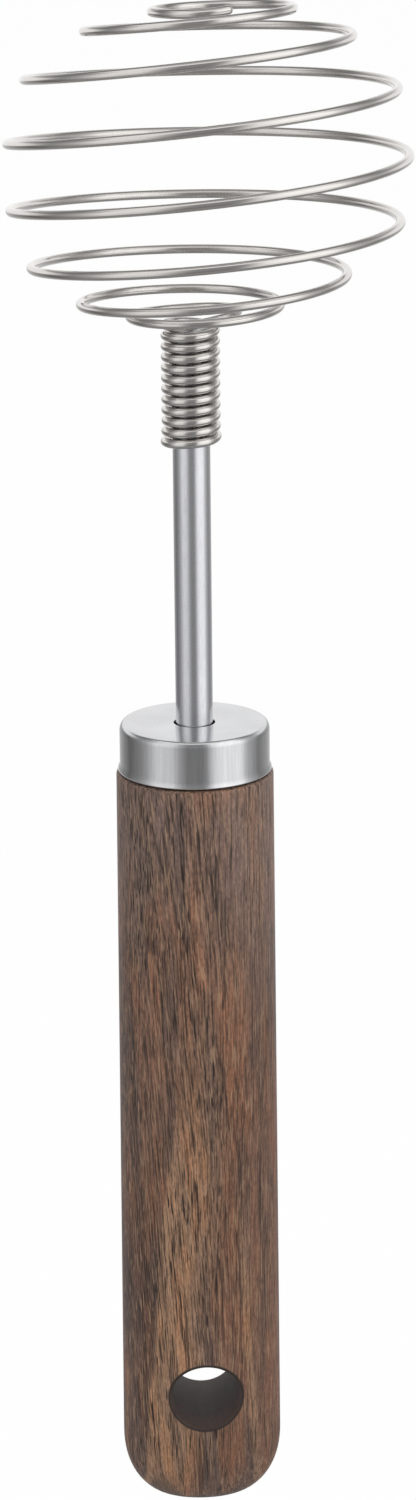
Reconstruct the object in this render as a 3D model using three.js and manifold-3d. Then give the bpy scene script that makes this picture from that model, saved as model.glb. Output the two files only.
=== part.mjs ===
// Spiral whisk. A shaped wooden handle wears a drawn steel cap, a steel rod stands in it, and one
// spring wire grips the rod in a tight coil and then opens into a round cage.
// Millimetres, +Z up from the butt of the handle to the head, origin at the centre of the butt.
import * as THREE from "three";
import { mergeVertices } from "three/addons/utils/BufferGeometryUtils.js";
import Module from "manifold-3d";

// Clearance between pieces that are glued, pressed or butted together
const seatGap = 0.3;

// Cap: a drawn cup, open downwards, that the rod passes through
const capDiameter = 24.3;
const capHeight = 7.75;
const capWall = 0.5;
const capEdgeRadius = 0.8;
const capHoleClearance = 0.33;
const rimFlare = 0.35;
const rimFlareHeight = 1.5;

// Handle: round under the cap, thinned front to back towards the hanging hole
const handleLength = 128.9;
const shoulderReveal = 0.25;
const shoulderRadius = 0.6;
const roundLength = 24.9;
const thinnedLength = 26;
const buttWidth = 26.6;
const buttDepth = 21.8;
const buttRise = 11.1;
const noseRise = 32;
const buttFlatWidth = 4;
const buttFlatDepth = 3;
const spigotChamfer = 1.2;
const tangDepth = 42;

// Hanging hole, front to back through the handle, with a broken edge at both mouths
const holeDiameter = 11.7;
const holeHeight = 22.4;
const holeOffset = 0.3;
const holeEdgeWidth = 0.35;

// Rod
const rodDiameter = 6;
const rodBareLength = 45.4;
const rodChamfer = 0.4;

// Wire, tight coil
const wireDiameter = 1.5;
const wireEndBevel = 0.3;
const coilTurns = 11.45;
const coilGap = 0.21;
const coilClearance = 0.1;
const coilOverRod = 0.6;
const coilTopBearing = -87.7;

// Wire, open cage: its radius and height follow the share of its turns that has been wound
const cageTurns = 8.05;
const cageSwell = 26.96;
const swellSharpness = 1.14;
const swellSkew = 1.07;
const tipRadius = 6.3;
const cageFloor = 2.2;
const cageHeight = 46.3;
const poleCrowding = 0.41;
const heightSkew = 1.09;

// First loop, where the wire leaves the tight coil
const liftStart = -0.1;
const liftEnd = 0.5;
const neckSwell = 2.4;
const neckTurns = 0.7;

// How the hand-bent cage stands on its rod: sideways drift, one sway to and fro, the lean of its
// loops and uneven bends
const driftMiddle = new THREE.Vector2(-0.14, 0.51);
const driftTip = new THREE.Vector2(3.9, 0);
const swayDepth = 1.73;
const swayPhase = 0.836;
const leanBase = new THREE.Vector2(0.03, -0.035);
const leanTip = new THREE.Vector2(0.071, -0.131);
const bendDepth = 0.8;
const bendWaves = 2.87;
const bendPhase = 0.208;

// Where the wire is parted: turns above the tight coil, and turns of the crown
const cageStartTurn = 0.15;
const crownTurns = 1.2;

// Facets
const roundSteps = 48;
const holeSteps = 32;
const arcSteps = 6;
const buttSteps = 12;
const bodySteps = 18;
const loopSteps = 24;
const wireSides = 6;

// Places that follow from the sizes above
const rodRadius = rodDiameter / 2;
const wireRadius = wireDiameter / 2;
const topWidth = capDiameter + 2 * (rimFlare + shoulderReveal);
const capBottom = handleLength + seatGap;
const capTop = capBottom + capHeight;
const spigotTop = capTop - capWall - seatGap;
const spigotRadius = capDiameter / 2 - capWall - seatGap;
const rodBottom = handleLength - tangDepth;
const coilRadius = rodRadius + coilClearance + wireRadius;
const coilPitch = wireDiameter + coilGap;
const coilTop = capTop + rodBareLength + wireRadius + coilPitch * coilTurns;
const rodTop = coilTop - coilOverRod;
const crownStartTurn = cageTurns - crownTurns;

const wasm = await Module();
wasm.setup();

const steel = { metalness: 1, roughness: 0.3 };
const wood = new THREE.MeshStandardMaterial({ color: 0x6f5443, roughness: 0.6 });
const capSteel = new THREE.MeshStandardMaterial({ ...steel, color: 0xd3d7da });
const rodSteel = new THREE.MeshStandardMaterial({ ...steel, color: 0xa9abb4 });
const wireSteel = new THREE.MeshStandardMaterial({ ...steel, color: 0xb4aea9 });

function toSolid(geometry) {
  const bare = geometry.clone();
  bare.deleteAttribute("normal");
  bare.deleteAttribute("uv");
  const merged = mergeVertices(bare);
  return new wasm.Manifold(new wasm.Mesh({
    numProp: 3,
    vertProperties: new Float32Array(merged.attributes.position.array),
    triVerts: new Uint32Array(merged.index.array),
  }));
}

function toGeometry(solid) {
  const mesh = solid.getMesh();
  const geometry = new THREE.BufferGeometry();
  geometry.setAttribute("position", new THREE.BufferAttribute(mesh.vertProperties, 3));
  geometry.setIndex(new THREE.BufferAttribute(mesh.triVerts, 1));
  geometry.computeVertexNormals();
  return geometry;
}

// One value for each step round a circle
function aroundCircle(steps, makePoint) {
  return Array.from({ length: steps }, (_, k) => makePoint((2 * Math.PI * k) / steps));
}

// Closed skin through rings of points, with a middle point that closes each end
function skin(rings, firstMiddle, lastMiddle) {
  const sides = rings[0].length;
  const points = [...rings.flat(), firstMiddle, lastMiddle];
  const first = points.length - 2;
  const last = points.length - 1;
  const top = (rings.length - 1) * sides;
  const faces = [];
  for (let k = 0; k < sides; k++) {
    const next = (k + 1) % sides;
    faces.push(first, next, k);
    for (let low = 0; low < top; low += sides) {
      const high = low + sides;
      faces.push(low + k, low + next, high + next);
      faces.push(low + k, high + next, high + k);
    }
    faces.push(last, top + k, top + next);
  }
  const geometry = new THREE.BufferGeometry().setFromPoints(points);
  geometry.setIndex(faces);
  geometry.computeVertexNormals();
  return geometry;
}

// Points of an outline arc, in the outline's own radius and height
function arc(centreRadius, centreHeight, radius, fromDegrees, toDegrees) {
  return Array.from({ length: arcSteps + 1 }, (_, k) => {
    const angle = THREE.MathUtils.degToRad(THREE.MathUtils.lerp(fromDegrees, toDegrees, k / arcSteps));
    const across = centreRadius + radius * Math.cos(angle);
    return new THREE.Vector2(across, centreHeight + radius * Math.sin(angle));
  });
}

// Half of a size of the handle at a height: it grows from the butt's flat over an elliptic rise
function overRise(height, rise, flat, full) {
  const grown = Math.sqrt(1 - (1 - Math.min(height / rise, 1)) ** 2);
  return THREE.MathUtils.lerp(flat, full, grown) / 2;
}

// Width of the handle at a height, but for its butt
function handleTaper(height) {
  return THREE.MathUtils.lerp(buttWidth, topWidth, height / handleLength);
}

// Half width of the handle at a height, over a short dome
function handleHalfWidth(height) {
  return overRise(height, buttRise, buttFlatWidth, handleTaper(height));
}

// Half depth of the handle at a height. From the side the butt is a longer, slimmer nose.
function handleHalfDepth(height) {
  const roundStart = handleLength - roundLength;
  const rounded = THREE.MathUtils.smoothstep(height, thinnedLength, roundStart);
  const depth = handleTaper(height) * THREE.MathUtils.lerp(buttDepth / buttWidth, 1, rounded);
  return overRise(height, noseRise, buttFlatDepth, depth);
}

// Half depth of the handle at a point of its front or back
function handleFace(across, height) {
  return handleHalfDepth(height) * Math.sqrt(1 - (across / handleHalfWidth(height)) ** 2);
}

// Cutter for the hanging hole. Its broken edge is even all round, so its mouths follow the
// rounded front and back of the handle.
function hangingHole() {
  const boreRadius = holeDiameter / 2;
  const mouthRadius = boreRadius + 2 * holeEdgeWidth;
  const ring = (side, radius, proud) => aroundCircle(holeSteps, (angle) => {
    const across = holeOffset + radius * Math.sin(angle);
    const height = holeHeight + radius * Math.cos(angle);
    return new THREE.Vector3(across, side * (handleFace(across, height) + proud), height);
  });
  const past = boreRadius;
  const mouth = [[boreRadius, -holeEdgeWidth], [mouthRadius, holeEdgeWidth], [mouthRadius, past]];
  const back = mouth.map(([radius, proud]) => ring(1, radius, proud));
  const front = mouth.map(([radius, proud]) => ring(-1, radius, proud)).reverse();
  const reach = handleFace(holeOffset, holeHeight) + past;
  const [frontMiddle, backMiddle] = [-reach, reach].map((y) => (
    new THREE.Vector3(holeOffset, y, holeHeight)
  ));
  return skin([...front, ...back], frontMiddle, backMiddle);
}

// The handle's outside, shoulder, spigot and blind bore are one closed skin, which runs from the
// middle of the butt up and back down to the bottom of the bore
function handleGeometry() {
  const bodyTop = handleLength - shoulderRadius;
  const boreBottom = rodBottom - seatGap;
  const boreRadius = rodRadius + seatGap;
  const heights = [
    ...Array.from({ length: buttSteps + 1 }, (_, k) => (
      buttRise * (1 - Math.cos((Math.PI / 2) * (k / buttSteps)))
    )),
    ...Array.from({ length: bodySteps - 1 }, (_, k) => (
      THREE.MathUtils.lerp(buttRise, bodyTop, (k + 1) / bodySteps)
    )),
  ];
  const outside = heights.map((height) => [handleHalfWidth(height), handleHalfDepth(height), height]);
  const turned = [
    ...arc(handleHalfWidth(bodyTop) - shoulderRadius, bodyTop, shoulderRadius, 0, 90),
    new THREE.Vector2(spigotRadius, handleLength),
    new THREE.Vector2(spigotRadius, spigotTop - spigotChamfer),
    new THREE.Vector2(spigotRadius - spigotChamfer, spigotTop),
    new THREE.Vector2(boreRadius, spigotTop),
    new THREE.Vector2(boreRadius, boreBottom),
  ].map((point) => [point.x, point.x, point.y]);
  const rings = [...outside, ...turned].map(([halfWidth, halfDepth, height]) => (
    aroundCircle(roundSteps, (angle) => (
      new THREE.Vector3(halfWidth * Math.cos(angle), halfDepth * Math.sin(angle), height)
    ))
  ));
  const body = skin(rings, new THREE.Vector3(0, 0, 0), new THREE.Vector3(0, 0, boreBottom));
  return toGeometry(toSolid(body).subtract(toSolid(hangingHole())));
}

// LatheGeometry turns its outline about Y, so the finished piece is stood up along Z
function lathe(outline) {
  const geometry = new THREE.LatheGeometry(outline, roundSteps);
  geometry.rotateX(Math.PI / 2);
  return geometry;
}

// The cap's outline runs down its inside from the rod's hole, round the flared rim and back up
function capGeometry() {
  const outer = capDiameter / 2;
  const inner = outer - capWall;
  const hole = rodRadius + capHoleClearance;
  const edgeHeight = capHeight - capEdgeRadius;
  const innerEdge = capEdgeRadius - capWall;
  const flared = (radius, share) => new THREE.Vector2(
    radius + rimFlare * (1 - share) ** 2,
    rimFlareHeight * share,
  );
  const shares = Array.from({ length: arcSteps + 1 }, (_, k) => k / arcSteps);
  return lathe([
    new THREE.Vector2(hole, capHeight - capWall),
    ...arc(inner - innerEdge, edgeHeight, innerEdge, 90, 0),
    ...shares.map((share) => flared(inner, 1 - share)),
    ...shares.map((share) => flared(outer, share)),
    ...arc(outer - capEdgeRadius, edgeHeight, capEdgeRadius, 0, 90),
    new THREE.Vector2(hole, capHeight),
    new THREE.Vector2(hole, capHeight - capWall),
  ]);
}

function rodGeometry() {
  const length = rodTop - rodBottom;
  const endRadius = rodRadius - rodChamfer;
  return lathe([
    new THREE.Vector2(0, 0),
    new THREE.Vector2(endRadius, 0),
    new THREE.Vector2(rodRadius, rodChamfer),
    new THREE.Vector2(rodRadius, length - rodChamfer),
    new THREE.Vector2(endRadius, length),
    new THREE.Vector2(0, length),
  ]);
}

// Distance of the wire from the rod's axis, for a turn and the share of the cage wound by then
function wireOffAxis(turn, share) {
  const swell = cageSwell * Math.sin(Math.PI * share ** swellSkew) ** swellSharpness;
  const wave = Math.sin(2 * Math.PI * (bendWaves * share + bendPhase));
  const bend = bendDepth * wave * Math.sin(Math.PI * share);
  const neck = neckSwell * Math.sin(Math.PI * THREE.MathUtils.clamp(turn / neckTurns, 0, 1)) ** 2;
  return THREE.MathUtils.lerp(coilRadius, tipRadius, share) + swell + bend + neck;
}

// Height of the wire above the top of the tight coil, before its loops lean. The cage's loops
// crowd together at both poles.
function wireLevel(turn, share) {
  const rise = (1 - Math.cos(Math.PI * share ** heightSkew)) / 2;
  const cageLevel = cageFloor + cageHeight * ((1 + poleCrowding) * rise - poleCrowding * share);
  const lift = THREE.MathUtils.smoothstep(turn, liftStart, liftEnd);
  return THREE.MathUtils.lerp(coilPitch * turn, cageLevel, lift);
}

// Centre of the wire at a number of turns from the top of the tight coil. Below zero the wire
// grips the rod, and above it the wire winds the cage.
function wireCentre(turn) {
  const share = THREE.MathUtils.clamp(turn / cageTurns, 0, 1);
  const radius = wireOffAxis(turn, share);
  const angle = THREE.MathUtils.degToRad(coilTopBearing) + 2 * Math.PI * turn;
  const x = radius * Math.cos(angle);
  const y = radius * Math.sin(angle);
  const middle = Math.sin(Math.PI * share);
  const sway = swayDepth * Math.sin(2 * Math.PI * (share + swayPhase)) * middle;
  const lean = leanBase.clone().lerp(leanTip, share).multiplyScalar(1 - coilRadius / radius);
  return new THREE.Vector3(
    x + driftMiddle.x * middle + driftTip.x * share + sway,
    y + driftMiddle.y * middle + driftTip.y * share,
    wireLevel(turn, share) + lean.x * x + lean.y * y,
  );
}

// Step of the wire at a turn: its direction, with the length that it winds in one turn
function wireStep(turn) {
  const part = 0.001;
  return wireCentre(turn + part).sub(wireCentre(turn - part)).divideScalar(2 * part);
}

// Route of one stretch of the wire between two cuts. Each end stops half a seat gap short of its
// cut and runs straight for one wire diameter, square to it, before the winding starts.
function wireRoute(fromTurn, toTurn) {
  const short = seatGap / 2;
  const run = short + wireDiameter;
  const straight = (turn, along) => (
    wireCentre(turn).addScaledVector(wireStep(turn).normalize(), along)
  );
  const runsBeforeWinding = 1.5;
  const kept = (turn) => (runsBeforeWinding * run) / wireStep(turn).length();
  const firstStep = Math.ceil((fromTurn + kept(fromTurn)) * loopSteps);
  const lastStep = Math.floor((toTurn - kept(toTurn)) * loopSteps);
  const winding = Array.from({ length: lastStep - firstStep + 1 }, (_, k) => (
    wireCentre((firstStep + k) / loopSteps)
  ));
  return [
    straight(fromTurn, short),
    straight(fromTurn, run),
    ...winding,
    straight(toTurn, -run),
    straight(toTurn, -short),
  ];
}

// Rings of a tube along a route, flat above and below, with its two end edges broken
function wireRings(route) {
  const up = new THREE.Vector3(0, 0, 1);
  const end = route.length - 1;
  const ring = (k, radius, along = 0) => {
    const before = route[Math.max(k - 1, 0)];
    const after = route[Math.min(k + 1, end)];
    const direction = after.clone().sub(before).normalize();
    const side = up.clone().cross(direction).normalize();
    const top = direction.clone().cross(side);
    return aroundCircle(wireSides, (angle) => (
      route[k].clone()
        .addScaledVector(direction, along)
        .addScaledVector(side, radius * Math.cos(angle))
        .addScaledVector(top, radius * Math.sin(angle))
    ));
  };
  return [
    ring(0, wireRadius - wireEndBevel),
    ring(0, wireRadius, wireEndBevel),
    ...route.slice(1, end).map((_, k) => ring(k + 1, wireRadius)),
    ring(end, wireRadius, -wireEndBevel),
    ring(end, wireRadius - wireEndBevel),
  ];
}

// Least distance between points of the wire's skin that lie over half a turn apart along it
function leastGap(rings) {
  const apart = loopSteps / 2;
  let least = Infinity;
  for (let i = 0; i < rings.length; i++) {
    for (let j = i + apart; j < rings.length; j++) {
      if (rings[i][0].distanceTo(rings[j][0]) < least + 2 * wireDiameter) {
        const gaps = rings[i].flatMap((a) => rings[j].map((b) => a.distanceTo(b)));
        least = Math.min(least, ...gaps);
      }
    }
  }
  return least;
}

function piece(name, geometry, material, height = 0) {
  const mesh = new THREE.Mesh(geometry, material);
  mesh.name = name;
  mesh.position.z = height;
  return mesh;
}

const wire = new THREE.Group();
wire.position.z = coilTop;
const stretches = [
  ["wire_grip_coil", -coilTurns, cageStartTurn],
  ["wire_cage", cageStartTurn, crownStartTurn],
  ["wire_crown", crownStartTurn, cageTurns],
];
const allRings = stretches.flatMap(([name, fromTurn, toTurn]) => {
  const route = wireRoute(fromTurn, toTurn);
  const rings = wireRings(route);
  wire.add(piece(name, skin(rings, route.at(0), route.at(-1)), wireSteel));
  return rings;
});
console.log(`least gap of the wire to itself: ${leastGap(allRings).toFixed(3)} mm`);

const whisk = new THREE.Group();
whisk.add(piece("handle", handleGeometry(), wood));
whisk.add(piece("cap", capGeometry(), capSteel, capBottom));
whisk.add(piece("rod", rodGeometry(), rodSteel, rodBottom));
whisk.add(wire);

export default whisk;
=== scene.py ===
# Spiral whisk in a light tent. Metres, +Z up from the butt of the handle to the wire head.
import math

import bmesh
import bpy
from mathutils import Matrix, Vector


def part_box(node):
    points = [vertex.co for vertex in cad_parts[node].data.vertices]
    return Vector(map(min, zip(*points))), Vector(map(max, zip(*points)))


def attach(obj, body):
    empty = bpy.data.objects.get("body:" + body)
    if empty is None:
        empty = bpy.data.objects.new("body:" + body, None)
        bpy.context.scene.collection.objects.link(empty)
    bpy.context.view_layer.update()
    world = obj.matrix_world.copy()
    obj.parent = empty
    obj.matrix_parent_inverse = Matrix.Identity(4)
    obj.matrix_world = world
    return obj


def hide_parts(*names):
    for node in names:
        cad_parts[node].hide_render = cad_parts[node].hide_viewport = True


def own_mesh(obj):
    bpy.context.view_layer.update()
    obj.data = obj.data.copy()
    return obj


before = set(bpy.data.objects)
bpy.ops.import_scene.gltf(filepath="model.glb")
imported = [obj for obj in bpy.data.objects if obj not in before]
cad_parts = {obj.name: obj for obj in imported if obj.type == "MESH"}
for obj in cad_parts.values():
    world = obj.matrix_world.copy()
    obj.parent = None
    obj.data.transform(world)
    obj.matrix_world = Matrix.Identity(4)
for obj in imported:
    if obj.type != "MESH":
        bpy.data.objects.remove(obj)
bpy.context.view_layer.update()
mm = 0.001
capLow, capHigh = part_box("cap")
rodLow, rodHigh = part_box("rod")
print("frame loaded:", sorted(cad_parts))


def addObject(name, data):
    item = bpy.data.objects.new(name, data)
    bpy.context.scene.collection.objects.link(item)
    return item


# Camera, at the place that the photograph was taken from
photoView = {
    "azimuth": -2.5,         # degrees, negative to the left of the front
    "elevation": 17.0,
    "roll": -0.581,
    "distance": 0.745,       # from the point that it looks at
    "aimHeight": 0.1321,
    "aimAcross": 0.00215,
    "focalPixels": 4600,
    "framePixels": 1500,     # height of the photograph
    "sensor": 36,            # millimetres
}


def makeCamera(view):
    data = bpy.data.cameras.new("photoCamera")
    data.sensor_width = view["sensor"]
    data.lens = view["sensor"] * view["focalPixels"] / view["framePixels"]
    camera = addObject("photoCamera", data)
    turn, tilt, roll = (math.radians(view[key]) for key in ("azimuth", "elevation", "roll"))
    forward = Vector((-math.sin(turn) * math.cos(tilt), math.cos(turn) * math.cos(tilt), -math.sin(tilt)))
    level = Vector((math.cos(turn), math.sin(turn), 0))
    upright = level.cross(forward)
    right = math.cos(roll) * level + math.sin(roll) * upright
    up = math.cos(roll) * upright - math.sin(roll) * level
    aim = Vector((0, 0, view["aimHeight"])) + view["aimAcross"] * level
    turned = Matrix((right, up, -forward)).transposed().to_4x4()
    camera.matrix_world = Matrix.Translation(aim - view["distance"] * forward) @ turned
    bpy.context.scene.camera = camera


makeCamera(photoView)
print("camera set")


# Number helpers
def clamp(value):
    return min(max(value, 0), 1)


def mixed(first, second, share):
    return first + (second - first) * share


def smoothShare(value, low, high):
    share = clamp((value - low) / (high - low))
    return share * share * (3 - 2 * share)


def arcPoints(centre, radius, fromAngle, toAngle, steps):
    angles = [math.radians(fromAngle + (toAngle - fromAngle) * k / steps) for k in range(steps + 1)]
    return [(centre[0] + radius * math.cos(a), centre[1] + radius * math.sin(a)) for a in angles]


# Mesh helpers
sharpFrom = 35      # degrees between two faces, from which their edge is drawn sharp


def smoothFaces(mesh, sharpAngle):
    mesh.shade_smooth()
    mesh.set_sharp_from_angle(angle=math.radians(sharpAngle))


def placeMesh(name, bm, sharpAngle=sharpFrom):
    mesh = bpy.data.meshes.new(name)
    bm.to_mesh(mesh)
    bm.free()
    smoothFaces(mesh, sharpAngle)
    return addObject(name, mesh)


def finishMesh(name, bm, sharpAngle=sharpFrom):
    bmesh.ops.remove_doubles(bm, verts=bm.verts, dist=1e-7)
    bmesh.ops.recalc_face_normals(bm, faces=bm.faces)
    return placeMesh(name, bm, sharpAngle)


def spinOutline(outline, steps, closed):
    bm = bmesh.new()
    verts = [bm.verts.new((radius, 0, height)) for radius, height in outline]
    edges = [bm.edges.new(pair) for pair in zip(verts, verts[1:])]
    if closed:
        edges.append(bm.edges.new((verts[-1], verts[0])))
    bmesh.ops.spin(bm, geom=verts + edges, axis=(0, 0, 1), cent=(0, 0, 0),
                   angle=math.tau, steps=steps, use_merge=True)
    return bm


def ringEdges(verts):
    return list(dict.fromkeys(edge for vert in verts for edge in vert.link_edges))


def growRing(bm, edges):
    grown = bmesh.ops.extrude_edge_only(bm, edges=edges)["geom"]
    newVerts = [item for item in grown if isinstance(item, bmesh.types.BMVert)]
    newEdges = [item for item in grown if isinstance(item, bmesh.types.BMEdge)]
    return newVerts, newEdges


# Node helpers
fieldLow, fieldHigh = 0.3, 0.7      # most of a noise field lies between these


def addNode(tree, kind, settings=None, inputs=None):
    item = tree.nodes.new(kind)
    for key, value in (settings or {}).items():
        setattr(item, key, value)
    for key, value in (inputs or {}).items():
        if isinstance(value, bpy.types.NodeSocket):
            tree.links.new(value, item.inputs[key])
        else:
            item.inputs[key].default_value = value
    return item


def objectPoint(tree, scale=(1, 1, 1)):
    place = addNode(tree, "ShaderNodeTexCoord")
    return addNode(tree, "ShaderNodeMapping", None, {
        "Vector": place.outputs["Object"], "Scale": scale,
    }).outputs["Vector"]


def splitPoint(tree, point):
    return addNode(tree, "ShaderNodeSeparateXYZ", None, {"Vector": point}).outputs


def addMath(tree, operation, first, second=0.0, third=0.0):
    inputs = {0: first, 1: second, 2: third}
    return addNode(tree, "ShaderNodeMath", {"operation": operation}, inputs).outputs[0]


def addNoise(tree, point, detail=2.0, roughness=0.5, output="Fac"):
    return addNode(tree, "ShaderNodeTexNoise", None, {
        "Vector": point, "Scale": 1.0, "Detail": detail, "Roughness": roughness,
    }).outputs[output]


def addFade(tree, value, fromLow, fromHigh, toLow=0.0, toHigh=1.0):
    return addNode(tree, "ShaderNodeMapRange", {"interpolation_type": "SMOOTHSTEP"}, {
        "Value": value, "From Min": fromLow, "From Max": fromHigh, "To Min": toLow, "To Max": toHigh,
    }).outputs["Result"]


def addBand(tree, value, places):
    start, full, falling, end = places
    return addMath(tree, "MULTIPLY", addFade(tree, value, start, full), addFade(tree, value, end, falling))


def addRamp(tree, factor, stops):
    item = addNode(tree, "ShaderNodeValToRGB", None, {"Fac": factor})
    ramp = item.color_ramp
    while len(ramp.elements) < len(stops):
        ramp.elements.new(1)
    for element, (position, colour) in zip(ramp.elements, stops):
        element.position = position
        element.color = (*colour, 1)
    return item.outputs["Color"]


def mixColour(tree, factor, first, second, blend="MIX"):
    first, second = ((*end, 1) if isinstance(end, tuple) else end for end in (first, second))
    settings = {"data_type": "RGBA", "blend_type": blend}
    return addNode(tree, "ShaderNodeMix", settings, {0: factor, 6: first, 7: second}).outputs[2]


def newMaterial(name):
    material = bpy.data.materials.new(name)
    material.use_nodes = True
    return material, material.node_tree, material.node_tree.nodes["Principled BSDF"]


def greyOf(value):
    return (value, value, value)


def addContrast(tree, field, depth):
    return addRamp(tree, field, [
        (fieldLow, greyOf(1 - depth)), (0.5, greyOf(1)), (fieldHigh, greyOf(1 + depth)),
    ])


# Wire: one route that grips the rod and then winds the cage. Its slack, its loose end, the dip at
# the back of its neck and the rise of its bare end are only drawn here; the rest is the solid's route.
wire = {
    "diameter": 1.5 * mm,
    "coilTurns": 11.45,
    "coilPitch": 1.71 * mm,
    "coilRadius": 3.85 * mm,
    "coilSlack": 0.1 * mm,       # on the drawn coil only
    "slackFade": 0.5,            # turns over which the slack ends under the cage
    "looseEnd": 0.2 * mm,        # more slack over the lowest turns
    "looseTurns": 1.6,
    "coilOverRod": 0.6 * mm,
    "topBearing": -87.7,         # degrees, where the coil ends and the cage begins
    "cageTurns": 8.05,
    "cageStartTurn": 0.15,       # where the two drawn pieces meet
    "swell": 26.96 * mm,
    "swellSharpness": 1.14,
    "swellSkew": 1.07,
    "tipRadius": 6.3 * mm,
    "cageFloor": 2.2 * mm,
    "cageHeight": 46.3 * mm,
    "poleCrowding": 0.41,        # loops lie closer at the two poles
    "heightSkew": 1.09,
    "lift": (-0.1, 0.5),         # turns over which the wire leaves the pitch of the coil
    "neckSwell": 2.4 * mm,
    "neckTurns": 0.7,
    "neckDip": 0.85 * mm,        # the back of the first loop hangs a little on the drawn wire
    "neckDipFrom": 0.2,
    "neckDipTurns": 0.62,
    "tipRise": 0.75 * mm,        # the bare end is bent up a little
    "tipTurns": 0.2,
    "driftMiddle": Vector((-0.14 * mm, 0.51 * mm)),
    "driftTip": Vector((3.9 * mm, 0)),
    "swayDepth": 1.73 * mm,      # loops shift from side to side, as on a hand-bent cage
    "swayPhase": 0.836,
    "leanBase": Vector((0.03, -0.035)),
    "leanTip": Vector((0.071, -0.131)),
    "bendDepth": 0.8 * mm,
    "bendWaves": 2.87,
    "bendPhase": 0.208,
    "stepsPerTurn": 96,
    "roundness": 6,
    "sharpFrom": 50,             # degrees
    "dome": [(0.45, 0.93), (0.75, 0.72), (0.92, 0.42), (0.98, 0.12)],    # bare end, in radii: reach, width
}
coilTop = rodHigh.z + wire["coilOverRod"]


def wireRadius(turn, share):
    middle = math.sin(math.pi * share)
    swell = wire["swell"] * math.sin(math.pi * share ** wire["swellSkew"]) ** wire["swellSharpness"]
    bend = wire["bendDepth"] * math.sin(math.tau * (wire["bendWaves"] * share + wire["bendPhase"])) * middle
    neck = wire["neckSwell"] * math.sin(math.pi * clamp(turn / wire["neckTurns"])) ** 2
    slack = wire["coilSlack"] * clamp(-turn / wire["slackFade"])
    slack += wire["looseEnd"] * clamp(1 - (turn + wire["coilTurns"]) / wire["looseTurns"])
    return mixed(wire["coilRadius"], wire["tipRadius"], share) + swell + bend + neck + slack


def wireLevel(turn, share):
    rise = (1 - math.cos(math.pi * share ** wire["heightSkew"])) / 2
    crowding = wire["poleCrowding"]
    cageLevel = wire["cageFloor"] + wire["cageHeight"] * ((1 + crowding) * rise - crowding * share)
    level = mixed(wire["coilPitch"] * turn, cageLevel, smoothShare(turn, *wire["lift"]))
    hanging = clamp((turn - wire["neckDipFrom"]) / wire["neckDipTurns"])
    level -= wire["neckDip"] * math.sin(math.pi * hanging) ** 2
    level += wire["tipRise"] * clamp(1 - (wire["cageTurns"] - turn) / wire["tipTurns"]) ** 2
    return level


def wireCentre(turn):
    share = clamp(turn / wire["cageTurns"])
    middle = math.sin(math.pi * share)
    radius = wireRadius(turn, share)
    angle = math.radians(wire["topBearing"]) + math.tau * turn
    x, y = radius * math.cos(angle), radius * math.sin(angle)
    lean = mixed(wire["leanBase"], wire["leanTip"], share) * (1 - wire["coilRadius"] / radius)
    drift = wire["driftMiddle"] * middle + wire["driftTip"] * share
    drift.x += wire["swayDepth"] * math.sin(math.tau * (share + wire["swayPhase"])) * middle
    height = coilTop + wireLevel(turn, share) + lean.x * x + lean.y * y
    return Vector((x + drift.x, y + drift.y, height))


def domePoints(tip, inner):
    outward = (tip - inner).normalized() * wire["diameter"] / 2
    return [tip + outward * reach for reach, width in wire["dome"]]


def drawWire(name, points, widths):
    curve = bpy.data.curves.new(name, "CURVE")
    curve.dimensions = "3D"
    curve.bevel_depth = wire["diameter"] / 2
    curve.bevel_resolution = wire["roundness"]
    curve.use_fill_caps = True
    curve.twist_mode = "Z_UP"
    spline = curve.splines.new("POLY")
    spline.points.add(len(points) - 1)
    for spot, point, width in zip(spline.points, points, widths):
        spot.co = (*point, 1)
        spot.radius = width
    route = addObject(name + "Route", curve)
    graph = bpy.context.evaluated_depsgraph_get()
    bm = bmesh.new()
    bm.from_mesh(bpy.data.meshes.new_from_object(route.evaluated_get(graph)))
    bpy.data.objects.remove(route)
    return finishMesh(name, bm, wire["sharpFrom"])


def windWire(name, fromTurn, toTurn, bareStart=False, bareEnd=False):
    count = round((toTurn - fromTurn) * wire["stepsPerTurn"])
    points = [wireCentre(mixed(fromTurn, toTurn, k / count)) for k in range(count + 1)]
    widths = [1.0] * len(points)
    domeWidths = [width for reach, width in wire["dome"]]
    if bareStart:
        points = domePoints(points[0], points[1])[::-1] + points
        widths = domeWidths[::-1] + widths
    if bareEnd:
        points = points + domePoints(points[-1], points[-2])
        widths = widths + domeWidths
    return drawWire(name, points, widths)


gripCoil = windWire("gripCoil", -wire["coilTurns"], wire["cageStartTurn"], bareStart=True)
cageWire = windWire("cageWire", wire["cageStartTurn"], wire["cageTurns"], bareEnd=True)
print("wire wound:", len(gripCoil.data.polygons), len(cageWire.data.polygons), "faces")


# Rod: a plain bar with a rounded top edge
rod = {"radius": 3 * mm, "edge": 0.4 * mm, "edgeSteps": 5, "steps": 96}


def makeRod():
    bottom, top, radius, edge = rodLow.z, rodHigh.z, rod["radius"], rod["edge"]
    outline = [(0, bottom), (radius - edge, bottom), (radius, bottom + edge)]
    outline += arcPoints((radius - edge, top - edge), edge, 0, 90, rod["edgeSteps"])
    outline += [(0, top)]
    return finishMesh("rod_bar", spinOutline(outline, rod["steps"], closed=False))


rodBar = makeRod()
print("rod made")


# Cap: a drawn cup with a rounded top edge, a pierced top and a flared rim
cap = {
    "radius": 12.15 * mm,
    "wall": 0.5 * mm,
    "edge": 0.75 * mm,           # how far the top edge rounds inwards
    "edgeDrop": 1.25 * mm,       # and how far it reaches down
    "edgeSteps": 14,
    "hole": 3.33 * mm,
    "holeEdge": 0.15 * mm,
    "flare": 0.35 * mm,
    "flareHeight": 1.5 * mm,
    "flareSteps": 8,
    "rimEdge": 0.2 * mm,
    "innerSteps": 8,
    "rimSteps": 4,
    "steps": 160,
}


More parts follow.
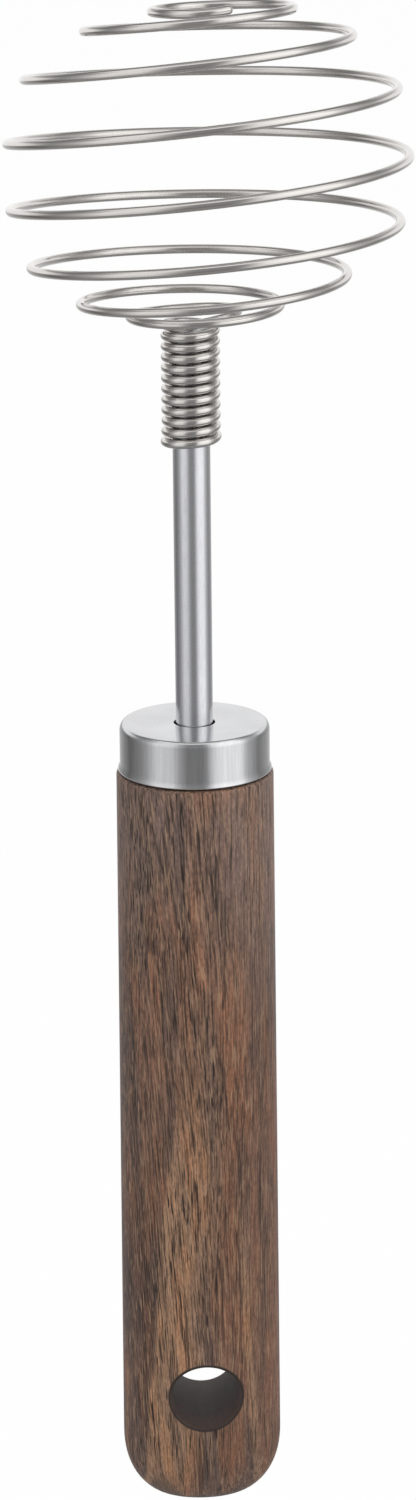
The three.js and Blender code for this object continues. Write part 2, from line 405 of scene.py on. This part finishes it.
def makeCap():
    low, high = capLow.z, capHigh.z
    radius, wall, edge, hole = cap["radius"], cap["wall"], cap["edge"], cap["hole"]
    holeEdge, rimEdge, rimSteps = cap["holeEdge"], cap["rimEdge"], cap["rimSteps"]
    shares = [k / cap["flareSteps"] for k in range(1, cap["flareSteps"] + 1)]
    flares = [(cap["flare"] * (1 - share) ** 2, low + cap["flareHeight"] * share) for share in shares]
    rimOuter = (radius + cap["flare"] - rimEdge, low + rimEdge)
    rimInner = (radius - wall + cap["flare"] + rimEdge, low + rimEdge)
    outline = arcPoints((radius - edge, high - edge), edge - wall, 90, 0, cap["innerSteps"])
    outline += [(radius - wall + flare, height) for flare, height in reversed(flares)]
    outline += arcPoints(rimInner, rimEdge, 180, 270, rimSteps)
    outline += arcPoints(rimOuter, rimEdge, 270, 360, rimSteps)
    outline += [(radius + flare, height) for flare, height in flares]
    outline += [(radius - edge + edge * across, high - cap["edgeDrop"] * (1 - up))
                for across, up in arcPoints((0, 0), 1, 0, 90, cap["edgeSteps"])]
    outline += arcPoints((hole + holeEdge, high - holeEdge), holeEdge, 90, 180, rimSteps)
    outline += [(hole, high - wall)]
    return finishMesh("steel_cap", spinOutline(outline, cap["steps"], closed=True))


steelCap = makeCap()
print("cap made")


# Handle: round under the cap, thinned front to back towards the hanging hole
handle = {
    "length": 128.9 * mm,
    "topWidth": 25.5 * mm,
    "buttWidth": 26.6 * mm,
    "buttDepth": 22.3 * mm,
    "buttRise": 12.6 * mm,       # height over which the width rounds down to the flat
    "buttSquareness": 2.2,
    "noseRise": 32 * mm,         # height over which the depth does
    "buttFlat": (6.4 * mm, 3 * mm),
    "thinned": 26 * mm,          # thinned up to here, and round again from the next height up
    "roundFrom": 104 * mm,
    "shoulder": 0.6 * mm,
    "shoulderSteps": 6,
    "spigotRadius": 11.35 * mm,
    "spigotTop": 136.15 * mm,
    "boreRadius": 3.3 * mm,
    "boreGap": 0.3 * mm,         # under the foot of the rod
    "holeHeight": 22.1 * mm,
    "holeOffset": 0.35 * mm,
    "holeRadius": 5.7 * mm,
    "holeEdge": 0.7 * mm,
    "sides": 144,
    "buttLevels": 18,
    "bodyLevels": 84,
}


def overRise(height, rise, flat, full, squareness=2):
    grown = (1 - (1 - min(height / rise, 1)) ** squareness) ** (1 / squareness)
    return mixed(flat, full, grown) / 2


def taperWidth(height):
    return mixed(handle["buttWidth"], handle["topWidth"], height / handle["length"])


def halfWidth(height):
    flat, squareness = handle["buttFlat"][0], handle["buttSquareness"]
    return overRise(height, handle["buttRise"], flat, taperWidth(height), squareness)


def halfDepth(height):
    rounded = smoothShare(height, handle["thinned"], handle["roundFrom"])
    depth = taperWidth(height) * mixed(handle["buttDepth"] / handle["buttWidth"], 1, rounded)
    return overRise(height, handle["noseRise"], handle["buttFlat"][1], depth)


def faceDepth(across, height):
    return halfDepth(height) * math.sqrt(1 - (across / halfWidth(height)) ** 2)


def loftRings(bm, levels, sides):
    ring = bmesh.ops.create_circle(bm, cap_ends=True, segments=sides, radius=1)["verts"]
    wide, deep, height = levels[0]
    bmesh.ops.scale(bm, vec=(wide, deep, 1), verts=ring)
    bmesh.ops.translate(bm, vec=(0, 0, height), verts=ring)
    edges = ringEdges(ring)
    for (wide, deep, height), (nextWide, nextDeep, nextHeight) in zip(levels, levels[1:]):
        verts, edges = growRing(bm, edges)
        bmesh.ops.scale(bm, vec=(nextWide / wide, nextDeep / deep, 1), verts=verts)
        bmesh.ops.translate(bm, vec=(0, 0, nextHeight - height), verts=verts)
    bmesh.ops.edgeloop_fill(bm, edges=edges)


# Cutter for the hanging hole: it widens where it meets the faces, which rounds their edge
cutter = {"sides": 96, "edgeSteps": 7, "edgeAngle": 78, "reach": 6 * mm}


def cutterProfile():
    radius, edge = handle["holeRadius"], handle["holeEdge"]
    profile = []
    for k in range(cutter["edgeSteps"] + 1):
        angle = math.radians(cutter["edgeAngle"] * k / cutter["edgeSteps"])
        profile.append((radius + edge * (1 - math.cos(angle)), edge * (math.sin(angle) - 1)))
    profile.append((profile[-1][0], cutter["reach"]))
    return profile


def makeHoleCutter():
    offset, height = handle["holeOffset"], handle["holeHeight"]
    profile = cutterProfile()
    rings = [(radius, proud, -1) for radius, proud in reversed(profile)]
    rings += [(radius, proud, 1) for radius, proud in profile]
    bm = bmesh.new()
    verts = bmesh.ops.create_circle(bm, cap_ends=True, segments=cutter["sides"], radius=1,
                                    matrix=Matrix.Rotation(math.radians(90), 4, "X"))["verts"]
    edges = ringEdges(verts)
    spokes = [Vector((vert.co.x, vert.co.z)) for vert in verts]
    for k, (radius, proud, side) in enumerate(rings):
        if k:
            verts, edges = growRing(bm, edges)
            spokes = [Vector((vert.co.x - offset, vert.co.z - height)).normalized() for vert in verts]
        for vert, spoke in zip(verts, spokes):
            x, z = offset + radius * spoke.x, height + radius * spoke.y
            vert.co = (x, side * (faceDepth(x, z) + proud), z)
    bmesh.ops.edgeloop_fill(bm, edges=edges)
    return finishMesh("holeCutter", bm)


def cutHole(grip):
    tool = makeHoleCutter()
    cut = grip.modifiers.new("hangingHole", "BOOLEAN")
    cut.operation = "DIFFERENCE"
    cut.solver = "EXACT"
    cut.object = tool
    graph = bpy.context.evaluated_depsgraph_get()
    final = bpy.data.meshes.new_from_object(grip.evaluated_get(graph))
    grip.modifiers.clear()
    grip.data = final
    bpy.data.objects.remove(tool)
    smoothFaces(final, sharpFrom)


def makeHandle():
    rise, buttLevels, bodyLevels = handle["buttRise"], handle["buttLevels"], handle["bodyLevels"]
    shoulder = handle["shoulder"]
    bodyTop = handle["length"] - shoulder
    heights = [rise * (1 - math.cos(math.pi / 2 * k / buttLevels)) for k in range(buttLevels + 1)]
    heights += [mixed(rise, bodyTop, k / bodyLevels) for k in range(1, bodyLevels)]
    levels = [(halfWidth(height), halfDepth(height), height) for height in heights]
    spigot, spigotTop, bore = handle["spigotRadius"], handle["spigotTop"], handle["boreRadius"]
    rounding = (halfWidth(bodyTop) - shoulder, bodyTop)
    upper = arcPoints(rounding, shoulder, 0, 90, handle["shoulderSteps"])
    upper += [(spigot, handle["length"]), (spigot, spigotTop)]
    upper += [(bore, spigotTop), (bore, rodLow.z - handle["boreGap"])]
    levels += [(radius, radius, height) for radius, height in upper]
    bm = bmesh.new()
    loftRings(bm, levels, handle["sides"])
    grip = finishMesh("wood_grip", bm)
    cutHole(grip)
    return grip


woodGrip = makeHandle()
print("handle made:", len(woodGrip.data.polygons), "faces")


# Oiled dark hardwood: growth figure, fine fibres, dark pores and pale flecks, with painted shade in the
# hanging hole and under the butt
wood = {
    "darkBrown": (0.096, 0.057, 0.042),
    "greyBrown": (0.128, 0.077, 0.058),
    "midBrown": (0.162, 0.089, 0.059),
    "redBrown": (0.196, 0.099, 0.062),
    "tan": (0.312, 0.176, 0.101),
    "greyTan": (0.235, 0.156, 0.123),
    "pale": (0.380, 0.240, 0.145),
    "pore": (0.026, 0.015, 0.011),
    # painted shade: the next two colours are the shade inside the hanging hole and on its rim
    "bore": (0.068, 0.044, 0.036),
    "boreRimShade": (0.030, 0.022, 0.019),
    # painted shade under the butt
    "buttShade": (0.060, 0.044, 0.037),
}
grainRun = {
    "lean": 0.085,               # slope of the grain on the left side of the handle
    "leanFrom": 65 * mm,
    "side": 13 * mm,
    "noseShare": 0.85,           # how closely the grain follows the nose
    "wander": 1.0 * mm,
    "wanderScale": (110, 110, 40),
    "figureShare": 0.45,
    "growthShare": 0.55,
    "fibreContrast": 0.4,
    "speckleContrast": 0.24,
    "shadedCorner": (-10 * mm, -8 * mm, -6 * mm, -3 * mm),    # where the painted shade under the butt reaches further up
    "cornerPull": -0.33,
    "fibreRelief": 0.6,
    "bumpStrength": 0.3,
    "bumpDepth": 0.1 * mm,
}
grainFields = {                  # cells per metre across and along the grain, detail, roughness, shift
    "figure": (110, 9, 2.0, 0.5, 0.0),
    "growth": (520, 28, 2.0, 0.55, 0.0),
    "hue": (240, 42, 2.0, 0.6, 7.3),
    "fibre": (3300, 150, 2.0, 0.6, 0.0),
    "pore": (4200, 180, 1.0, 0.5, 3.1),
    "fleck": (3400, 200, 1.0, 0.5, 5.7),
    "vein": (620, 20, 1.0, 0.5, 9.1),
    "line": (3100, 90, 1.0, 0.5, 11.3),
    "speckle": (3400, 1100, 1.0, 0.5, 13.7),
}
paleStreaks = {                  # one left of the middle, and a thin one on the right
    "height": 31 * mm,           # the places across are those at this height
    "left": (-8.4 * mm, -7.8 * mm, -4.2 * mm, 2.2 * mm),
    "leftUp": (100 * mm, 45 * mm, 0.05, 1),
    "leftLean": -0.08,
    "leftWander": 3 * mm,
    "right": (6.7 * mm, 7.2 * mm, 7.9 * mm, 8.6 * mm),
    "rightUp": (62 * mm, 45 * mm, 0, 0.9),
    "rightLean": 0.06,
}
woodFades = {                    # where each fade starts and ends, and its values there
    "leftEdge": (-12.5 * mm, -9.5 * mm, 0.75, 1.1),
    "rightSide": (1 * mm, 7 * mm, 1, 0.6),
    "butt": (5 * mm, 15 * mm, 0.6, 1),
    "leftToRight": (-12 * mm, 11 * mm, -0.025, 0.035),
    "greyTanUp": (80 * mm, 128 * mm),
    "greyTanAcross": (1 * mm, 10 * mm, 0.38, 0.95),
    "streakGrowth": (0.36, 0.6, 0.75, 1.05),
    "lines": (0.60, 0.66, 0, 0.6),
    "veins": (0.024, 0.004, 0, 0.6),
    "flecks": (0.57, 0.66, 0, 0.5),
    "pores": (0.57, 0.64),
    "poreGrowth": (0.66, 0.40, 0.5, 0.9),
    # painted shade in the hanging hole and on its rim
    "boreRimShade": (handle["holeRadius"] + 0.05 * mm, handle["holeRadius"] + 0.3 * mm),
    "inBore": (handle["holeRadius"] + 0.8 * mm, handle["holeRadius"] + 0.55 * mm, 0, 0.95),
    # painted shade under the butt, by how far its surface faces down
    "buttShade": (-0.62, -0.88, 0, 0.65),
    "roughness": (fieldLow, fieldHigh, 0.44, 0.6),
}


def grainPoint(tree, x, y, z):
    # the grain leans on the left side of the handle, wanders a little along it and follows the nose
    side, noseShare, wander = grainRun["side"], grainRun["noseShare"], grainRun["wander"]
    leaning = addMath(tree, "MULTIPLY", addMath(tree, "SUBTRACT", z, grainRun["leanFrom"]),
                      addFade(tree, x, side, -side, 0, grainRun["lean"]))
    overNose = addMath(tree, "MINIMUM", addMath(tree, "MULTIPLY", z, 1 / handle["noseRise"]), 1.0)
    grown = addMath(tree, "MULTIPLY", overNose, addMath(tree, "SUBTRACT", 2.0, overNose))
    narrowed = addMath(tree, "MULTIPLY_ADD", addMath(tree, "SQRT", grown), noseShare, 1 - noseShare)
    leant = addNode(tree, "ShaderNodeCombineXYZ", None, {
        "X": addMath(tree, "ADD", x, leaning), "Y": addMath(tree, "DIVIDE", y, narrowed), "Z": z,
    }).outputs[0]
    clouds = addNoise(tree, objectPoint(tree, grainRun["wanderScale"]), output="Color")
    centred = addNode(tree, "ShaderNodeVectorMath", {"operation": "SUBTRACT"}, {
        0: clouds, 1: (0.5, 0.5, 0.5),
    }).outputs[0]
    swayed = addNode(tree, "ShaderNodeVectorMath", {"operation": "MULTIPLY_ADD"}, {
        0: centred, 1: (wander, wander, 0), 2: leant,
    }).outputs[0]
    return swayed, centred


def grainField(tree, swayed, name):
    across, along, detail, roughness, shift = grainFields[name]
    stretched = addNode(tree, "ShaderNodeMapping", None, {
        "Vector": swayed, "Scale": (across, across, along), "Location": (shift, shift, shift),
    }).outputs["Vector"]
    return addNoise(tree, stretched, detail, roughness)


def brownGround(tree, x, z, fields):
    # greyer on the left, redder on the right, and paler and greyer on the right towards the cap
    figure = addMath(tree, "MULTIPLY", fields["figure"], grainRun["figureShare"])
    tone = addMath(tree, "MULTIPLY_ADD", fields["growth"], grainRun["growthShare"], figure)
    tone = addMath(tree, "ADD", tone, addFade(tree, x, *woodFades["leftToRight"]))
    browns = addRamp(tree, tone, [
        (0.36, wood["darkBrown"]), (0.46, wood["greyBrown"]),
        (0.53, wood["midBrown"]), (0.64, wood["redBrown"]),
    ])
    greyTanShare = addMath(tree, "MULTIPLY", addFade(tree, z, *woodFades["greyTanUp"]),
                   addFade(tree, x, *woodFades["greyTanAcross"]))
    return mixColour(tree, greyTanShare, browns, wood["greyTan"])


def streakShare(tree, x, z, centred, growth):
    up = addMath(tree, "SUBTRACT", z, paleStreaks["height"])
    leftX = addMath(tree, "MULTIPLY_ADD", splitPoint(tree, centred)[0], paleStreaks["leftWander"], x)
    leftX = addMath(tree, "MULTIPLY_ADD", up, paleStreaks["leftLean"], leftX)
    rightX = addMath(tree, "MULTIPLY_ADD", up, paleStreaks["rightLean"], x)
    left = addMath(tree, "MULTIPLY", addBand(tree, leftX, paleStreaks["left"]),
                   addFade(tree, z, *paleStreaks["leftUp"]))
    right = addMath(tree, "MULTIPLY", addBand(tree, rightX, paleStreaks["right"]),
                    addFade(tree, z, *paleStreaks["rightUp"]))
    streak = addMath(tree, "MAXIMUM", left, right)
    return addMath(tree, "MULTIPLY", streak, addFade(tree, growth, *woodFades["streakGrowth"]))


def addFibres(tree, coloured, lively, fields):
    tints = addRamp(tree, fields["hue"], [
        (0.36, (0.86, 0.90, 0.98)), (0.5, greyOf(1)), (0.64, (1.21, 1.04, 0.90)),
    ])
    coloured = mixColour(tree, 1.0, coloured, tints, "MULTIPLY")
    fibres = addContrast(tree, fields["fibre"], grainRun["fibreContrast"])
    coloured = mixColour(tree, lively, coloured, fibres, "MULTIPLY")
    speckles = addContrast(tree, fields["speckle"], grainRun["speckleContrast"])
    coloured = mixColour(tree, 1.0, coloured, speckles, "MULTIPLY")
    lines = addMath(tree, "MULTIPLY", addFade(tree, fields["line"], *woodFades["lines"]), lively)
    coloured = mixColour(tree, lines, coloured, wood["pore"])
    fromVein = addMath(tree, "ABSOLUTE", addMath(tree, "SUBTRACT", fields["vein"], 0.5))
    coloured = mixColour(tree, addFade(tree, fromVein, *woodFades["veins"]), coloured, wood["pore"])
    return mixColour(tree, addFade(tree, fields["fleck"], *woodFades["flecks"]), coloured, wood["pale"])


def paintBoreShade(tree, coloured, x, z):
    # painted shade: the bore of the hanging hole and its rounded edge are painted darker than the faces, as
    # the shade inside the hole
    fromHole = addNode(tree, "ShaderNodeCombineXYZ", None, {
        "X": addMath(tree, "SUBTRACT", x, handle["holeOffset"]),
        "Z": addMath(tree, "SUBTRACT", z, handle["holeHeight"]),
    }).outputs[0]
    distance = addNode(tree, "ShaderNodeVectorMath", {"operation": "LENGTH"}, {0: fromHole}).outputs["Value"]
    atRim = addFade(tree, distance, *woodFades["boreRimShade"])
    tone = mixColour(tree, atRim, wood["bore"], wood["boreRimShade"])
    return mixColour(tree, addFade(tree, distance, *woodFades["inBore"]), coloured, tone)


def paintButtShade(tree, coloured, x):
    # painted shade: where the butt faces down it is painted darker, as the shade under the handle, most at
    # its left corner
    normal = addNode(tree, "ShaderNodeTexCoord").outputs["Normal"]
    corner = addBand(tree, x, grainRun["shadedCorner"])
    facing = addMath(tree, "MULTIPLY_ADD", corner, grainRun["cornerPull"], splitPoint(tree, normal)[2])
    return mixColour(tree, addFade(tree, facing, *woodFades["buttShade"]), coloured, wood["buttShade"])


def makeWood():
    material, tree, shader = newMaterial("oiledHardwood")
    x, y, z = splitPoint(tree, objectPoint(tree))
    swayed, centred = grainPoint(tree, x, y, z)
    fields = {name: grainField(tree, swayed, name) for name in grainFields}

    # the middle of the front is the liveliest, its edges, the right side and the butt are smoother
    lively = addMath(tree, "MULTIPLY", addFade(tree, x, *woodFades["leftEdge"]),
                     addFade(tree, x, *woodFades["rightSide"]))
    lively = addMath(tree, "MULTIPLY", lively, addFade(tree, z, *woodFades["butt"]))

    coloured = brownGround(tree, x, z, fields)
    streak = streakShare(tree, x, z, centred, fields["growth"])
    coloured = mixColour(tree, streak, coloured, wood["tan"])
    coloured = addFibres(tree, coloured, lively, fields)
    pores = addMath(tree, "MULTIPLY", addFade(tree, fields["pore"], *woodFades["pores"]), lively)
    pores = addMath(tree, "MULTIPLY", pores, addFade(tree, fields["growth"], *woodFades["poreGrowth"]))
    coloured = mixColour(tree, pores, coloured, wood["pore"])
    # painted shade in the hanging hole
    coloured = paintBoreShade(tree, coloured, x, z)
    # painted shade under the butt
    coloured = paintButtShade(tree, coloured, x)

    relief = addMath(tree, "MULTIPLY", fields["fibre"], grainRun["fibreRelief"])
    bump = addNode(tree, "ShaderNodeBump", None, {
        "Height": addMath(tree, "MULTIPLY_ADD", pores, -1.0, relief),
        "Strength": grainRun["bumpStrength"], "Distance": grainRun["bumpDepth"],
    })
    tree.links.new(coloured, shader.inputs["Base Color"])
    tree.links.new(addFade(tree, fields["fibre"], *woodFades["roughness"]), shader.inputs["Roughness"])
    tree.links.new(bump.outputs["Normal"], shader.inputs["Normal"])
    shader.inputs["Specular IOR Level"].default_value = 0.35
    shader.inputs["Sheen Weight"].default_value = 0.12
    shader.inputs["Sheen Roughness"].default_value = 0.35
    shader.inputs["Sheen Tint"].default_value = (0.88, 0.9, 1, 1)
    return material


# Steels: the wire is bright drawn, the rod is satin, the cap is finely brushed along its height
steels = {
    "wire": {"name": "brightDrawnWire", "dark": (0.66, 0.635, 0.61), "pale": (0.73, 0.705, 0.68),
             "across": 5200, "along": 5200, "rough": (0.10, 0.13), "bump": 0.002},
    "rod": {"name": "satinRodSteel", "dark": (0.67, 0.67, 0.70), "pale": (0.80, 0.805, 0.84),
            "across": 4200, "along": 500, "rough": (0.19, 0.29), "bump": 0.06},
    "cap": {"name": "brushedCapSteel", "dark": (0.58, 0.58, 0.59), "pale": (0.73, 0.735, 0.75),
            "across": 3200, "along": 110, "rough": (0.09, 0.16), "bump": 0.10},
}
brushing = {
    "detail": 3.0,
    "roughness": 0.6,
    "fineShare": 0.6,
    "broadShare": 0.4,
    "broadScale": (160, 160, 60),
    "bumpDepth": 0.03 * mm,
}


def makeSteel(look):
    material, tree, shader = newMaterial(look["name"])
    finePoint = objectPoint(tree, (look["across"], look["across"], look["along"]))
    fine = addNoise(tree, finePoint, brushing["detail"], brushing["roughness"])
    broad = addNoise(tree, objectPoint(tree, brushing["broadScale"]))
    broad = addMath(tree, "MULTIPLY", broad, brushing["broadShare"])
    both = addMath(tree, "MULTIPLY_ADD", fine, brushing["fineShare"], broad)
    colour = addRamp(tree, both, [(fieldLow, look["dark"]), (fieldHigh, look["pale"])])
    smoothest, roughest = look["rough"]
    rough = addFade(tree, both, fieldLow, fieldHigh, roughest, smoothest)
    bump = addNode(tree, "ShaderNodeBump", None, {
        "Height": fine, "Strength": look["bump"], "Distance": brushing["bumpDepth"],
    })
    tree.links.new(colour, shader.inputs["Base Color"])
    tree.links.new(rough, shader.inputs["Roughness"])
    tree.links.new(bump.outputs["Normal"], shader.inputs["Normal"])
    shader.inputs["Metallic"].default_value = 1
    return material


finishes = {
    gripCoil: makeSteel(steels["wire"]),
    rodBar: makeSteel(steels["rod"]),
    steelCap: makeSteel(steels["cap"]),
    woodGrip: makeWood(),
}
finishes[cageWire] = finishes[gripCoil]
for piece, finish in finishes.items():
    piece.data.materials.clear()
    piece.data.materials.append(finish)
print("finishes made")


# What each piece stands for, and the body that carries it
standIns = [
    (woodGrip, "wood", ["handle"]),
    (steelCap, "cap_steel", ["cap"]),
    (rodBar, "rod_steel", ["rod"]),
    (gripCoil, "wire_steel", ["wire_grip_coil"]),
    (cageWire, "wire_steel", ["wire_cage", "wire_crown"]),
]
for piece, slotName, replaced in standIns:
    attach(piece, "shaft")
    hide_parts(*replaced)

# the foot of the cage wire, and a mesh of its own for the cage
cageFoot = wireCentre(wire["cageStartTurn"])
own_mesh(cageWire)
print("pieces seated on their bodies")


# Studio: a pale floor, a round light tent that only reflections see, and three soft lamps
studio = {
    "floorDrop": 0.055,
    "floorSize": 12,
    "floorTones": (0.71, 0.73),
    "floorGlow": 0.97,           # share of plain white where the floor is seen directly
    "worldLevel": 0.72,
    "lampAim": 0.12,
}
lamps = [                        # name, place, size and power
    ("leftSoftbox", (-1.1, -1.0, 0.9), 0.9, 5.0),
    ("rightSoftbox", (1.1, -0.9, 0.9), 0.9, 5.0),
    ("topSoftbox", (0, 0.3, 1.5), 1.0, 5.0),
]
lightTent = {
    "radius": 0.30,
    "top": 0.95,
    "overFloor": 4 * mm,
    "hem": 0.02,
    "sides": 96,
    "glow": 1.2,
    "back": (0.02, 0.20),                       # behind here the wall counts as the back
    "brighter": (0.10, 0.22, 1, 1.25),          # heights over which the wall brightens, and how much
    "frontUpper": (0.46, 0.56),
    "backBand": (0.16, 0.20, 0.29, 0.34),
    "backTop": (0.40, 0.46),
    "seam": (0.002, 0.012),
    "upperTone": 0.84,
    "backTopTone": 0.22,
    "roofTone": 0.40,
    "bottomTone": 0.25,
}
tentTones = [                    # bearing in degrees from the front, positive to the right, and tone
    (-180, 0.60), (-148, 0.34), (-118, 0.13), (-96, 0.22), (-80, 0.35), (-62, 0.67),
    (-36, 0.63), (-24, 0.34), (-14, 0.20), (9, 0.19), (15, 0.26), (27, 0.74), (42, 0.89),
    (70, 0.88), (84, 0.44), (110, 0.20), (136, 0.34), (180, 0.60),
]


def isSeenDirectly(tree):
    path = addNode(tree, "ShaderNodeLightPath")
    seen = addMath(tree, "MAXIMUM", path.outputs["Is Camera Ray"], path.outputs["Is Glossy Ray"])
    return addMath(tree, "MAXIMUM", seen, path.outputs["Is Transmission Ray"])


def makeWorld():
    world = bpy.data.worlds.new("whiteStudio")
    world.use_nodes = True
    tree = world.node_tree
    background = tree.nodes["Background"]
    background.inputs["Color"].default_value = (1, 1, 1, 1)
    level = addFade(tree, isSeenDirectly(tree), 0, 1, studio["worldLevel"], 1)
    tree.links.new(level, background.inputs["Strength"])
    bpy.context.scene.world = world


def makeFloor():
    bm = bmesh.new()
    bmesh.ops.create_grid(bm, x_segments=4, y_segments=4, size=studio["floorSize"])
    bmesh.ops.translate(bm, vec=(0, 0, -studio["floorDrop"]), verts=bm.verts)
    floor = placeMesh("floor", bm)
    material, tree, shader = newMaterial("paleFloor")
    darker, paler = studio["floorTones"]
    clouds = addNoise(tree, objectPoint(tree, (9, 9, 9)))
    tones = addRamp(tree, clouds, [(fieldLow, greyOf(darker)), (fieldHigh, greyOf(paler))])
    tree.links.new(tones, shader.inputs["Base Color"])
    shader.inputs["Roughness"].default_value = 0.9
    glow = addNode(tree, "ShaderNodeEmission", None, {"Color": (1, 1, 1, 1), "Strength": 1.0})
    share = addMath(tree, "MULTIPLY", isSeenDirectly(tree), studio["floorGlow"])
    mixer = addNode(tree, "ShaderNodeMixShader", None, {
        0: share, 1: shader.outputs["BSDF"], 2: glow.outputs["Emission"],
    })
    tree.links.new(mixer.outputs["Shader"], tree.nodes["Material Output"].inputs["Surface"])
    floor.data.materials.append(material)


def makeTentCloth(low, top):
    material, tree, shader = newMaterial("tentCloth")
    tree.nodes.remove(shader)
    x, y, z = splitPoint(tree, objectPoint(tree))
    near, far = lightTent["seam"]
    bearing = addMath(tree, "ARCTAN2", x, addMath(tree, "MULTIPLY", y, -1.0))
    around = addMath(tree, "MULTIPLY_ADD", bearing, 1 / math.tau, 0.5)
    wall = addRamp(tree, around, [((angle + 180) / 360, greyOf(tone)) for angle, tone in tentTones])
    wall = mixColour(tree, 1.0, wall, addFade(tree, z, *lightTent["brighter"]), "MULTIPLY")
    isBack = addFade(tree, y, *lightTent["back"])
    upper = addNode(tree, "ShaderNodeMix", {"data_type": "FLOAT"}, {
        0: isBack, 2: addFade(tree, z, *lightTent["frontUpper"]), 3: addBand(tree, z, lightTent["backBand"]),
    }).outputs[0]
    backTop = addMath(tree, "MULTIPLY", isBack, addFade(tree, z, *lightTent["backTop"]))
    lit = mixColour(tree, upper, wall, greyOf(lightTent["upperTone"]))
    lit = mixColour(tree, backTop, lit, greyOf(lightTent["backTopTone"]))
    lit = mixColour(tree, addFade(tree, z, top - far, top - near), lit, greyOf(lightTent["roofTone"]))
    lit = mixColour(tree, addFade(tree, z, low + far, low + near), lit, greyOf(lightTent["bottomTone"]))
    glow = addNode(tree, "ShaderNodeEmission", None, {"Color": lit, "Strength": lightTent["glow"]})
    tree.links.new(glow.outputs["Emission"], tree.nodes["Material Output"].inputs["Surface"])
    return material


def makeTent():
    radius, top = lightTent["radius"], lightTent["top"]
    low = lightTent["overFloor"] - studio["floorDrop"]
    outline = [(0, low), (radius / 2, low), (radius, low)]
    outline += [(radius, low + lightTent["hem"]), (radius, top), (0, top)]
    bm = spinOutline(outline, lightTent["sides"], closed=False)
    bmesh.ops.remove_doubles(bm, verts=bm.verts, dist=1e-6)
    tent = placeMesh("lightTent", bm)
    tent.data.materials.append(makeTentCloth(low, top))
    tent.visible_camera = False
    tent.visible_diffuse = False
    tent.visible_transmission = False
    tent.visible_shadow = False


def makeLamp(name, place, size, power):
    data = bpy.data.lights.new(name, "AREA")
    data.shape = "SQUARE"
    data.size = size
    data.energy = power
    lamp = addObject(name, data)
    lamp.location = place
    aim = Vector((0, 0, studio["lampAim"])) - lamp.location
    lamp.rotation_euler = aim.to_track_quat("-Z", "Y").to_euler()
    lamp.visible_glossy = False


makeWorld()
makeFloor()
makeTent()
for lamp in lamps:
    makeLamp(*lamp)
print("studio lit")

scene = bpy.context.scene
scene.view_settings.view_transform = "Standard"
